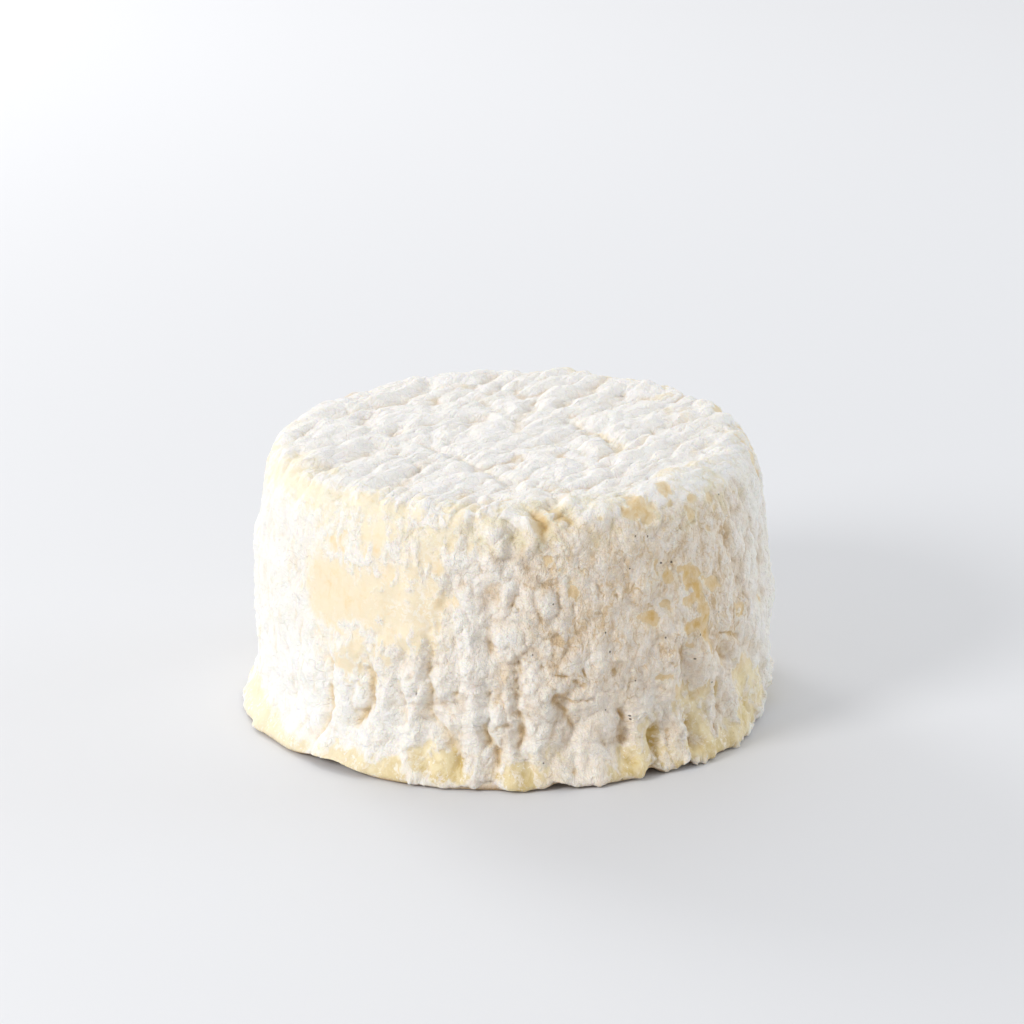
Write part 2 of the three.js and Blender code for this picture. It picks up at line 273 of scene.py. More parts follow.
clefts = {  # between the folds
    "reach": 2.8,
    "rise": -2.3,
    "paths": [
        [[-56, 14, 0.8], [-57, 5, 1.2]],
        [[-44, 25, 1], [-43.3, 13, 0], [-45, 9, 0.6], [-48, 2, 1]],
        [[-31.5, 28, 1], [-32.8, 22, 0], [-31.6, 15, 0.5], [-36.5, 10, 0.5]],
        [[-24.3, 27, 1.2], [-25.3, 17, 0.6], [-24.5, 12, 0.3], [-27.5, 7, 1.3]],
        [[-18.8, 31, 1.3], [-17.8, 20, 0.6], [-17.8, 15, 0.2], [-13, 9, 0.3], [-10.8, 5, 0.6]],
        [[-11, 50, 1.9], [-13.8, 40, 1.7], [-16.3, 31, 1.7]],
        [[-12.6, 27, 1.3], [-12.6, 18, 1]],
        [[0.3, 49, 1.7], [-0.4, 54, 1.4], [-5, 55.8, 1.6], [-7.7, 53.5, 1], [-7.5, 49, 1.4]],
        [[-5.6, 38, 1.1], [-5.6, 33, 0.7], [-3.6, 28.5, 1]],
        [[-5.7, 20, 0.8], [-6, 12, 0], [-3.6, 7, 0.2], [-4.4, 1, 0.4]],
        [[1, 26, 1], [1.3, 19, 0.6], [2.2, 14, 0], [1.9, 8, 0.2], [2.6, 4, 0.8]],
        [[3.2, 57, 1.4], [7.4, 53.6, 1]],
        [[9.3, 59, 0.9], [13, 55, 1]],
        [[8.6, 17.4, 0.7], [11.6, 14.2, 0], [14, 11.6, 0.5]],
        [[12, 9, 1.4], [12.5, 2, 1.2]],
        [[23.4, 14, 0], [24.2, 10, 0.4], [24.9, 5, 1]],
        [[34.5, 9.7, 1], [31.6, 7.5, 0.2], [30.8, 3, 0.2], [29.6, 0.6, 0.4]],
        [[38.8, 26, 0.5], [39.6, 20, 0], [42.5, 15, 1.3]],
        [[40.4, 9, 0.9], [41.4, 5, 0.6]],
        [[52.4, 22, 0.6], [54.6, 19, 0.5]],
        [[50, 13.6, 0.6], [51.2, 12.2, 0.9]],
        [[62.5, 8, 1.2], [63.5, 2, 0.8]],
        [[76, 10, 1], [79, 5, 0.2], [80.5, 1, 0]],
    ],
}
cracks = {  # fine ones in the skin
    "reach": 1.2,
    "rise": -0.8,
    "paths": [
        [[0.2, 26, 0.2], [0.6, 19.7, 0], [1.2, 16, 0.3]],
        [[1.8, 27.6, 0.4], [7.5, 24.2, 0], [15.4, 20.9, 0.1], [21.2, 18.8, 0.3]],
        [[8.9, 17.9, 0.3], [17, 17.3, 0.4]],
        [[15.4, 23.6, 0.4], [16.3, 20.3, 0.2]],
        [[21.1, 23, 0.4], [21.6, 21, 0.2]],
        [[23.6, 31, 0.4], [25.8, 29.6, 0.3]],
        [[40.4, 50.2, 0.4], [44.7, 49.9, 0.5]],
        [[24.6, 49.2, 0.4], [25.8, 50.5, 0.5]],
        [[20.5, 41.1, 0.4], [23.1, 38.3, 0.3]],
        [[52.2, 25.9, 0.3], [60.5, 22.1, 0.5]],
        [[33.9, 25.9, 0.4], [37.2, 26.8, 0.5]],
        [[-1.7, 37.4, 0.3], [0.2, 38, 0.2], [1.9, 36.8, 0.3]],
        [[-5, 20.4, 0.5], [0.5, 20.8, 0.4]],
        [[-4.5, 17.6, 0.4], [1, 17.2, 0.5]],
        [[-5, 14.6, 0.5], [0, 15, 0.4]],
        [[-4, 12.2, 0.5], [0.5, 12.4, 0.4]],
    ],
}
strands = {  # thin raised folds of the mould
    "reach": 1.1,
    "rise": 0.7,
    "paths": [
        [[-3.2, 49, 0.6], [-1.4, 45, 0.1], [0.5, 41, 0.3]],
        [[-2.5, 35.4, 0.4], [2.6, 34.8, 0.2], [4.4, 31, 0.5]],
        [[19, 26.5, 0.6], [24, 25.4, 0.5], [27, 21, 0.7]],
        [[-12, 36, 0.5], [-9, 31, 0.5]],
    ],
}
creases = {  # of the top, where the rind has sunk into the marks of the ripening mat
    "reach": 3.6,
    "rise": -1.5,
    "paths": [
        [[-40, -25, 0.8], [-33.5, -14, 0.5]],
        [[-47, -3, 1], [-42, 8, 1]],
        [[-39, 14, 0.4], [-31, 22, 0.2], [-22, 28, 0.7], [-18, 33, 1.2]],
        [[-31.5, 9, 0.6], [-30.5, 17, 0.5]],
        [[-27, -36, 0.6], [-21, -28, 0], [-17.5, -16, 0.9]],
        [[-35, -17, 1], [-28, -5, 1]],
        [[-10.5, -43, 0.3], [-5.5, -44, 0.3], [0, -36.5, 0.6]],
        [[1.5, -49.5, 0.5], [10, -41, 0.2], [17, -31, 0.3], [23.5, -25.5, 1.1]],
        [[9, -31, 1.3], [19, -20, 0.9]],
        [[26, -10, 0.9], [28.5, -3, 0.6], [34, 5, 0.4], [42, 12.5, 1]],
        [[33, -11, 1.1], [36.5, -5.5, 0.8], [44, 1, 0.9]],
        [[36, -19, 0.9], [38, -13, 0.7], [42, -9, 0.8]],
        [[0, 5, 1.1], [1.5, 12, 0.5], [3.5, 20, 0.9]],
        [[10, 21, 0.6], [17, 33, 0.2], [21, 44, 0.7]],
        [[-8.5, 36, 0.4], [-3, 45, 0.8]],
        [[-20, 31, 1], [-18, 39, 1.1]],
        [[-5.5, 30, 0.9], [0, 39, 0.8]],
        [[22, 19.5, 0.5], [23, 29, 0.7]],
        [[33, 10, 0.8], [38, 17, 0.7]],
        [[-13, 6, 0.9], [-5.5, 13, 0.7]],
        [[-19, -3.5, 1.2], [-12.5, -11.5, 0.8], [-6.5, -21.5, 0.4], [-2, -28, 0.3], [0, -33, 0.6]],
        [[12, 13.5, 0.5], [15, 6, 0.4]],
        [[18, 2.5, 0.5], [23, -9.5, 0.3]],
        [[9, -2, 1.2], [14.5, -12, 1]],
        [[-8, 27, 1.2], [-0.5, 16, 1.1]],
        [[-26, 2, 1.1], [-24, 8, 1.1]],
    ],
}
bare = {  # where the paste shows: each set's reach, softness and raggedness, and its strokes
    "patches": (
        7.4,
        3.2,
        1.1,
        [
            [[-44.5, 36.5], [-38, 36]],
            [[-36, 36, 2], [-27, 35, 4.2], [-21, 36, 5.8]],
            [[-37, 47, 8.8], [-31, 51, 8.8], [-24, 46, 8], [-19, 41, 7.8]],
            [[-44, 27, 7.4], [-34, 26, 7.2]],
        ],
    ),
    "streaks": (
        3.2,
        1.9,
        1.1,
        [
            [[-47, 44.5, 2.9], [-40, 48.5, 3]],
            [[-30, 53, 2.5], [-29.5, 47, 2.9]],
            [[-35, 51.5, 2.8], [-34, 47, 3]],
            [[-25, 44, 2.7], [-19, 46, 2.7]],
            [[-19.5, 37.5, 0.5], [-17, 36, 2]],
            [[-14, 52, 1.9], [-10.5, 56, 1.6]],
            [[-84, 50, 3.4], [-70, 55, 2.6], [-52, 54.5, 2.3], [-40, 55, 2.3], [-24, 55.5, 2.2]],
            [[-74, 57, 3], [-62, 57.1, 2.8]],
            [[-48, 50, 3.4], [-38, 51, 3.3], [-24, 51.5, 3]],
            [[-84, 4.5, 1.6], [-72, 3, 1.4], [-60, 2, 1.1], [-50, 0.8, 1.2]],
            [[-41, 1.5, 1.6], [-34, 1, 1.4]],
            [[-31.5, 1, 0.8], [-26, 1, 0.8]],
            [[-18.5, 4.2, 1], [-12.5, 3.4, 0.8]],
            [[1.2, 2.8, 1.1], [5, 3, 0.8]],
            [[22, 2.6, 1], [27.5, 3.4, 0.6]],
            [[30.5, 8, 1.8], [31.5, 4, 1.3], [34, 2, 1]],
            [[41.5, 3.4, 1], [48, 3, 0.6], [56, 3, 1.4]],
            [[43.5, 11, 1.6], [44.6, 6.5, 1.4]],
            [[39, 15, 1.9], [44, 13.8, 1.9]],
            [[60.8, 15, 2.4], [63, 13.4, 2.2]],
            [[60, 4.6, 1.5], [68, 6.5, 1.2], [74, 8, 1.8]],
            [[62, 12.6, 1.8], [66, 12, 1.6]],
        ],
    ),
    "spots": (
        1.7,
        0.6,
        0.38,
        [
            [[-44.4, 46.2, 1], [-44.4, 45, 1.1]],
            [[-51.7, 39.5, 1.3], [-51.9, 37, 1.4]],
            [[-30.9, 49.5, 1.3], [-31.2, 46.5, 1.2]],
            [[-34.3, 50, 1.4], [-34.5, 47.5, 1.3]],
            [[-40.4, 49, 1.4], [-40.6, 47, 1.3]],
            [[-47.1, 51.2, 1.3], [-47.1, 50, 1.3]],
            [[-17, 45.4, 1.3], [-17.8, 44.6, 1.2]],
            [[-17.6, 41, 1.2], [-19.2, 40, 1.2]],
            [[-21.6, 44.3, 1.3], [-21.9, 43, 1.3]],
            [[-21.2, 36.3, 1.3], [-22, 35.6, 1.3]],
            [[-23.7, 39, 1.3], [-24.2, 38, 1.3]],
            [[-27, 43, 1.3], [-27.4, 41.5, 1.3]],
            [[-24.5, 48, 1.4], [-24.7, 46.8, 1.4]],
            [[-12.3, 50.8, 1.2], [-13.6, 50, 1.2]],
            [[-15, 38.2, 1.4], [-16, 37.4, 1.4]],
            [[-12.6, 39, 1.6], [-12.2, 38, 1.6]],
            [[4, 57, 1.5], [6.2, 54.2, 1.1], [6.8, 52.7, 1.5]],
            [[8.9, 57.6, 1.4], [9.4, 56.8, 1.4]],
            [[10.4, 55.9, 1.3], [12, 54.6, 1.2]],
            [[12, 53.1, 1.65], [13.7, 51.7, 1.7]],
            [[18.8, 55.9, 1.6], [18.8, 54.9, 1.65]],
            [[18.3, 50.7, 1.5], [18.5, 49.5, 1.5]],
            [[14.9, 43.9, 1.4], [13.5, 42.6, 1.4]],
            [[13.1, 40.7, 1.6], [12.8, 39.7, 1.65]],
            [[8, 47.4, 1.6], [8, 47, 1.6]],
            [[11.3, 46.7, 1.7], [11.1, 45.2, 1.6]],
            [[22, 56.8, 1.55], [23.8, 56, 1.5]],
            [[26, 55.5, 1.6], [27.7, 53.8, 1.5]],
            [[28.1, 57, 1.4], [29.6, 56.6, 1.4], [29.8, 54.5, 1.55]],
            [[31.4, 57, 1.6], [34.5, 57, 1.6]],
            [[30.9, 53.3, 1.5], [33.3, 52.3, 1.45]],
            [[32.6, 55.4, 1.6], [32.8, 55.2, 1.6]],
            [[38.6, 57.2, 1.4], [39.2, 56.2, 1.5], [38.9, 54.2, 1.6]],
            [[50.7, 53.7, 1.6], [51.5, 51.6, 1.4]],
            [[49.7, 49.2, 1.6], [50.5, 48.2, 1.6]],
            [[44.3, 54, 1.65], [44.3, 51.9, 1.7]],
            [[35.8, 42.8, 1.6], [36.4, 41.2, 1.5]],
            [[32.2, 43.9, 1.66], [32.6, 42.1, 1.66]],
            [[30.6, 39.3, 1.6], [30.9, 39, 1.65]],
            [[39.7, 41.2, 1.62], [42, 40.8, 1.6], [44.6, 39.6, 1.62]],
            [[40.7, 39.1, 1.3], [41, 37.3, 1.3]],
            [[43.1, 37.5, 1.3], [45.4, 34.5, 0.9]],
            [[47.6, 38, 1.2], [49.4, 36.5, 0.7], [52.3, 35.6, 1.5]],
            [[45.4, 32.3, 1.4], [46.1, 29.8, 1.2]],
            [[42.1, 28.8, 0.9], [44.2, 29.2, 1]],
            [[46.2, 27.2, 1.4], [47.6, 23.6, 1.1]],
            [[40.6, 24.6, 1.55], [42.1, 24.9, 1.6]],
            [[40.2, 34.3, 1.64], [41.9, 34.3, 1.64]],
            [[35.4, 34.6, 1.62], [35.7, 33.5, 1.62]],
            [[29.9, 32.8, 1.55], [31.5, 32.1, 1.55]],
            [[59, 29.3, 1.6], [59.3, 28.1, 1.6]],
            [[53.5, 20.6, 1.62], [52.8, 19, 1.6]],
            [[32.7, 20.4, 1.6], [34.5, 19, 1.5]],
            [[50.7, 13.1, 1.62], [51.1, 11.6, 1.6]],
            [[68, 44.4, 1.55], [70, 43, 1.6]],
            [[71, 27, 1.5], [72, 25.6, 1.6]],
        ],
    ),
}
spotReach = 2.2  # of the colour round the spots
stains = {  # yellower places on the top
    "reach": 3.2,
    "paths": [
        [[18, 2], [20.5, -4, 0.5], [23, -9]],
        [[33, 12, 1], [34, 17, 1]],
        [[37, 10, 1], [38, 17, 1]],
        [[30, 24, 1], [33, 27, 1]],
        [[15, 44, 1.5], [12, 47, 1]],
        [[6, 46, 1.5], [7, 45, 1.5]],
        [[19, 45, 1.5], [20, 44, 1.5]],
        [[-8, -18, 2], [-2, -27, 1.6]],
        [[26, -4, 1.6], [28, -1, 1.6]],
        [[-14, 34, 1.8], [-10, 36, 1.8]],
        [[5, -36, 1.8], [12, -37, 1.4]],
        [[30, -30, 1.2], [37, -24, 1.4]],
        [[2, 12, 2], [4, 19, 1.8]],
    ],
}
undrawn = {  # strokes drawn by rule, round the back
    "from": 100,
    "to": 251,
    "margin": 14,  # how far the windows go on past both ends
    "seed": 5,
    "step": 8.6,  # from fold to fold
    "lowest": 10,  # height of the lowest fold
    "taller": 14,  # how much taller the tallest is
    "sway": 5,
    "windows": 30,
    "patchesAt": (30, 119),  # bearings of the bare patches, past the first end
    "patchStrokes": 4,
}


def seeded(seed):  # numbers from 0 to 1, the same on every run
    state = seed
    while True:
        state = state * 16807 % 2147483647
        yield state / 2147483647


def undrawnFolds():
    random = seeded(undrawn["seed"])
    step = undrawn["step"]
    bearing = undrawn["from"]
    while bearing < undrawn["to"]:
        top = undrawn["lowest"] + undrawn["taller"] * next(random) ** 2
        sway, bend = (undrawn["sway"] * (next(random) - 0.5) for _ in range(2))
        up, down = next(random), next(random)
        waist, foot = [bearing + bend, top * 0.6, 0.9 * up], [bearing - sway, 1, 0.4 + 0.8 * down]
        clefts["paths"].append([[bearing + sway, top, 1.5], waist, [bearing, 5, 0.8], foot])
        crest = bearing + step * 0.5
        height = top + 4 * next(random)
        high, low = next(random), next(random)
        crests["paths"].append([[crest + sway, height, 2], [crest, 8, high], [crest - sway, 3, low]])
        bearing += step * (0.75 + 0.5 * next(random))


def undrawnBare():
    random = seeded(undrawn["seed"] + 6)

    def between(low, high):
        return low + (high - low) * next(random)

    def band(low, high, thin, thick):  # broken streaks all along at one height
        bearing = undrawn["from"] - undrawn["margin"]
        while bearing < undrawn["to"] + 20:
            end = bearing + between(4, 13)
            first, last = between(low, high), between(low, high)
            start, stop = [bearing, first, between(thin, thick)], [end, last, between(thin, thick)]
            bare["streaks"][3].append([start, stop])
            bearing = end + between(3, 10)

    band(1, 5, 0.6, 1.8)
    band(52, 57, 2.6, 3.9)
    for _ in range(undrawn["windows"]):
        bearing = between(undrawn["from"] - undrawn["margin"], undrawn["to"] + undrawn["margin"])
        height = between(9, 52)
        slant, drop = between(-1.5, 1.5), between(0.4, 3.5)
        lift = between(0.9, 1.65)
        bare["spots"][3].append([[bearing, height, lift], [bearing + slant, height - drop, lift]])
    for onward in undrawn["patchesAt"]:
        bearing = undrawn["from"] + onward
        height = between(24, 40)
        for _ in range(undrawn["patchStrokes"]):
            across, up = between(-9, 9), between(-7, 7)
            lift = between(5, 7)
            bare["patches"][3].append([[bearing, height, lift], [bearing + across, height + up, lift]])


def onSide(bearing, height, lift=0.0):
    a = math.radians(bearing)
    height = min(height, drum["height"] - 0.2)  # the side ends just under the rim
    i = next(i for i in range(1, len(section)) if section[i].y >= height)
    low, high = section[i - 1], section[i]
    along = (high - low).normalized()
    share = (height - low.y) / (high.y - low.y)
    at = low.lerp(high, share) + Vector((along.y, -along.x)) * lift
    return Vector((at.x * math.sin(a), -at.x * math.cos(a), at.y)) * mm


def onTop(x, y, lift=0.0):
    return Vector((x, y, topHeight(math.hypot(x, y)) + lift)) * mm


def guide(name, paths, place):  # lines in space that the rind's modifier measures from
    points, edges = [], []
    for path in paths:
        edges += [(len(points) + i, len(points) + i + 1) for i in range(len(path) - 1)]
        points += [place(*p) for p in path]
    mesh = bpy.data.meshes.new(name)
    mesh.from_pydata(points, edges, [])
    lines = bpy.data.objects.new(name, mesh)
    bpy.context.scene.collection.objects.link(lines)
    return lines


swells = {"rise": 0.34, "round": 26, "up": 0.36}
pillows = {"rise": 0.42, "rows": 9.6, "along": 15, "bearing": 50}
scallops = {"depth": 0.45, "round": 31, "height": 4.5}
arches = [(-40, 13, 2.2), (9.6, 4, 1.4), (29.5, 4, 1.8), (38.3, 3, 2.8)]  # bearing, half of the width, rise
creep = {"reach": 2.7, "bearing": -32, "everywhere": 0.17, "least": -0.25}  # of the foot over the ground
tuck = {"depth": 3, "bearing": 88, "half": 34}
slump = {  # waves round the wheel, each with its place in radians, and what fades upwards
    "oval": 0.3,
    "ovalAt": 2.6,
    "threefold": 0.3,
    "threefoldAt": 0.3,
    "topOval": 0.9,
    "topOvalAt": 0.5,
    "topShift": 0.25,
    "creepFade": 2.8,
    "archFade": 1.6,
}
sides = {  # bearings between which each side comes in, and between which it ends
    "right": ((-25, 10), (150, 100)),
    "left": ((-8, -50), (-165, -120)),
    "undripped": ((-40, -60), (-130, -110)),
}
levels = {  # heights between which each thing comes in
    "grown": (-0.01, 1.2),
    "top": (drum["height"] - 5, drum["height"] - 1),
    "drips": (43, 49),
    "pits": (54, 46),
    "lowerFolds": (28, 18),
    "lowest": (18, 9),
    "underShoulder": (42, 50),
    "nearGround": (12, 6),
    "mouldOver": (48, 55),
    "foot": (13, 4),
    "amber": (8, 1),
    "thin": (14, 26),
    "comb": (14, 22),
    # painted light in the lower folds of the left
    "paintedFoldLight": (28, 16),
    "shoulder": (47, 52),
    "yellowed": (45, 52),
    "spots": (57, 48),
    "flecks": (28, 36),
    # painted shadow at the bottom rim of the foot
    "underEdgeShadow": (1, 0.2),
}
sectors = {  # bearings from and to, and over how much each fades outside them
    "calm": (-80, -47, 7),
    "front": (-24, 8, 16),
    "rightFolds": (58, 110, 14),
    "leftFolds": (-75, -20, 12),
    "pits": (-30, 8, 10),
    "thin": (12, 54, 22),
    "flecks": (-25, -10, 9),
}
everyWay = (1, 1, 1)
noises = {  # width of the lumps, detail, roughness, twist, stretch and seed
    "windows": (6, 2, 0.5, 0.6, (1, 1, 1.4), 3),
    "rims": (1.9, 3, 0.65, 0.5, (1, 1, 1.4), 11),
    "drips": (1.6, 2, 0.5, 0.3, (1, 1, 5), 13),
    "patchy": (40, 1, 0.5, 0, everyWay, 19),
    "broken": (5, 1, 0.5, 0, everyWay, 79),
    "clefts": (7, 1, 0.5, 0, everyWay, 61),
    "pits": (4.6, 1, 0.4, 0, (1, 1, 1.4), 73),
    "grit": (0.9, 2, 0.6, 0.3, everyWay, 17),
    "dimples": (2.3, 1, 0.5, 0.6, everyWay, 18),
    "blotch": (7, 3, 0.6, 1, (1, 1, 1.2), 31),
    "mottle": (2.4, 3, 0.65, 0.8, (1, 1, 1.3), 37),
    "fine": (0.9, 3, 0.65, 0.4, everyWay, 41),
    "fuzz": (0.42, 2, 0.7, 0.5, everyWay, 23),
    "grain": (0.25, 1, 0.5, 0, everyWay, 47),
    "thin": (30, 1, 0.5, 0, everyWay, 43),
    "vein": (4.5, 1, 0.5, 0, everyWay, 53),
    "web": (5.5, 1, 0.5, 0, everyWay, 59),
    "comb": (0.8, 2, 0.5, 0.2, (1, 1, 6), 77),
    "streaks": (2.2, 2, 0.6, 0.3, (1, 1, 4), 83),
}


class Rind:  # fields over the drum, in millimetres, that both the relief and the colour read
    def __init__(self, place):
        self.place = place
        self.x, self.y, self.z = place.split()
        self.angle = self.x.maths("ARCTAN2", self.y * -1)
        self.bearing = self.angle * (180 / math.pi)
        self.fromFront = self.bearing.maths("ABSOLUTE")
        self.radius = (self.x * self.x + self.y * self.y).maths("SQRT")
        self.toTop = self.level("top")
        self.toRight = self.side("right")
        self.toLeft = self.side("left")

    def side(self, name):
        near, far = sides[name]
        return self.bearing.ramp(*near) * self.bearing.ramp(*far)

    def level(self, name, start=0.0, end=1.0):
        return self.z.ramp(*levels[name], start, end)

    def sector(self, name):
        return self.bearing.between(*sectors[name])

    def matRows(self):  # the place, turned along the marks of the ripening mat
        return self.place.warped(16, 1.5, seed=2).turned(-pillows["bearing"])


def swellsOver(rind):
    first = (rind.angle * swells["round"] + (rind.z * 0.19 + rind.angle * 3).sin() * 2.1).sin()
    second = (rind.z * swells["up"] + (rind.angle * 11 + 0.9).sin() * 1.6).sin()
    return first * second * swells["rise"]


def pillowsOver(rind):
    b = math.radians(pillows["bearing"])
    along = (rind.x * math.cos(b) + rind.y * math.sin(b)) / pillows["along"]
    across = (rind.y * math.cos(b) - rind.x * math.sin(b)) / pillows["rows"]
    rows = (across * math.tau + (along * 9).sin() * 1.4).sin()
    puffs = (along * math.tau + (across * 4.7 + 2).sin() * 1.9).sin() * 0.45 + 0.55
    return rows * puffs * pillows["rise"]


def scallopsOver(rind):
    phase = rind.angle * scallops["round"] + (rind.angle * 5 + 0.7).sin() * 2.2
    notch = (phase.sin() * 0.5 + 0.5).power(2)
    band = (rind.z - drum["height"] + scallops["height"] * 0.6) / scallops["height"]
    return notch * band.hump() * rind.radius.ramp(topRadius - 12, topRadius) * -scallops["depth"]


# Each row is the width of the mould's lumps, how much longer they are one way, and their rise.
crumple = {
    "side": [(7.5, 1.8, 0.95), (3.5, 1.6, 0.6), (1.8, 1.3, 0.3)],
    "top": [(8.5, 3.4, 0.9), (4.2, 3.6, 0.95), (2.2, 3.2, 0.4)],
}
pits = {"from": 0.34, "to": 0.75, "rise": -0.5}  # scattered hollows
coat = {"thick": 0.22, "grit": 0.17, "dimples": 0.22}  # the mould itself


def openings(rind, near):  # below 0 under mould, above 0 where the paste is bare
    wide = rind.place.noise(*noises["windows"])
    small = rind.place.noise(*noises["rims"])
    drips = rind.place.noise(*noises["drips"]) * rind.level("drips")
    drips = drips * (1 - rind.side("undripped"))
    ragged = (wide + small * 1.7 + drips * 1.6) * (1 - rind.sector("calm") * 0.5)
    highest = None
    for name, (reach, soft, shake, _) in bare.items():
        field = (reach - near(name)) / soft + ragged * shake + drips * 0.5
        highest = field if highest is None else highest.larger(field)
    return highest.larger(-2)


def mouldOver(bareness):  # 1 under mould, 0 where the paste is bare
    return bareness.ramp(-0.9, 0.5, 1, 0)


def vigour(rind):  # how strongly the mould has crumpled
    back = rind.fromFront.ramp(100, 125) * (rind.place.noise(*noises["patchy"]) * 0.4 + 0.7)
    right = rind.sector("rightFolds").larger(rind.bearing.ramp(10, 25) * rind.level("lowest") * 1.2)
    left = rind.sector("leftFolds") * rind.level("lowerFolds") * 0.85
    strongest = rind.sector("front").larger(back).larger(right).larger(left)
    return strongest.larger(rind.toRight.mix(0.5, 0.6))


def lumpsOver(rind, covered):  # the crumpled mould, below 0 in its creases, and lines along them that the colour paints as shade
    def heaped(place, rows, longWay, crisp):
        total, creaseShade = 0, 0
        for i, (size, longer, rise) in enumerate(rows):
            stretch = (longer, 1, 3) if longWay == "x" else (1, 1, longer)
            lumps = place.warped(size, size * 0.15, seed=i).billows(size, stretch, 4 + 5 * i, crisp)
            total = (lumps - 0.5) * rise + total
            creaseShade = lumps.ramp(0.5, 0.12, 0, 1 - 0.4 * i).larger(creaseShade)
        return total, creaseShade

    side, sideCreaseShade = heaped(rind.place.warped(10, 1.2, seed=7), crumple["side"], "z", 0.65)
    top, topCreaseShade = heaped(rind.matRows(), crumple["top"], "x", 0.5)
    strength = vigour(rind) * (covered * 0.8 + 0.2)
    broken = rind.place.noise(*noises["broken"]).ramp(-0.35, 0.3)
    return rind.toTop.mix(side * strength, top), rind.toTop.mix(sideCreaseShade * strength, topCreaseShade * 0.7) * broken


def archUnder(rind):  # how far the edge of the foot stands clear of the ground
    highest = 0
    for middle, half, rise in arches:
        highest = (((rind.bearing - middle) / half).hump() * rise).larger(highest)
    return highest * (rind.z / -slump["archFade"]).maths("EXPONENT")


def slumped(place):  # the foot has crept out, the outline isn't quite round and the top leans
    x, y, z = place.split()
    angle = x.maths("ARCTAN2", y * -1)
    up = z / drum["height"]
    outward = (angle + math.radians(90 - creep["bearing"])).sin() + creep["everywhere"]
    inward = ((angle - math.radians(tuck["bearing"])) / math.radians(tuck["half"])).hump() * tuck["depth"]
    atFoot = (z * z * (-slump["creepFade"] / drum["footHeight"] ** 2)).maths("EXPONENT")
    crept = atFoot * (outward.larger(creep["least"]) * creep["reach"] - inward)
    oval = (angle * 2 + slump["ovalAt"]).sin() * slump["oval"]
    outOfRound = oval + (angle * 3 + slump["threefoldAt"]).sin() * slump["threefold"]
    topOval = (angle * 2 - slump["topOvalAt"] + math.pi / 2).sin() * slump["topOval"]
    squeeze = up.power(6) * (topOval - angle.sin() * slump["topShift"])
    spread = (crept + outOfRound * up + squeeze) / drum["waist"] + 1
    lean = up.power(4) * (x * drum["tilt"] + y * drum["lean"]) / topRadius
    return place.node("ShaderNodeCombineXYZ", {}, {0: x * spread, 1: y * spread, 2: z + lean})


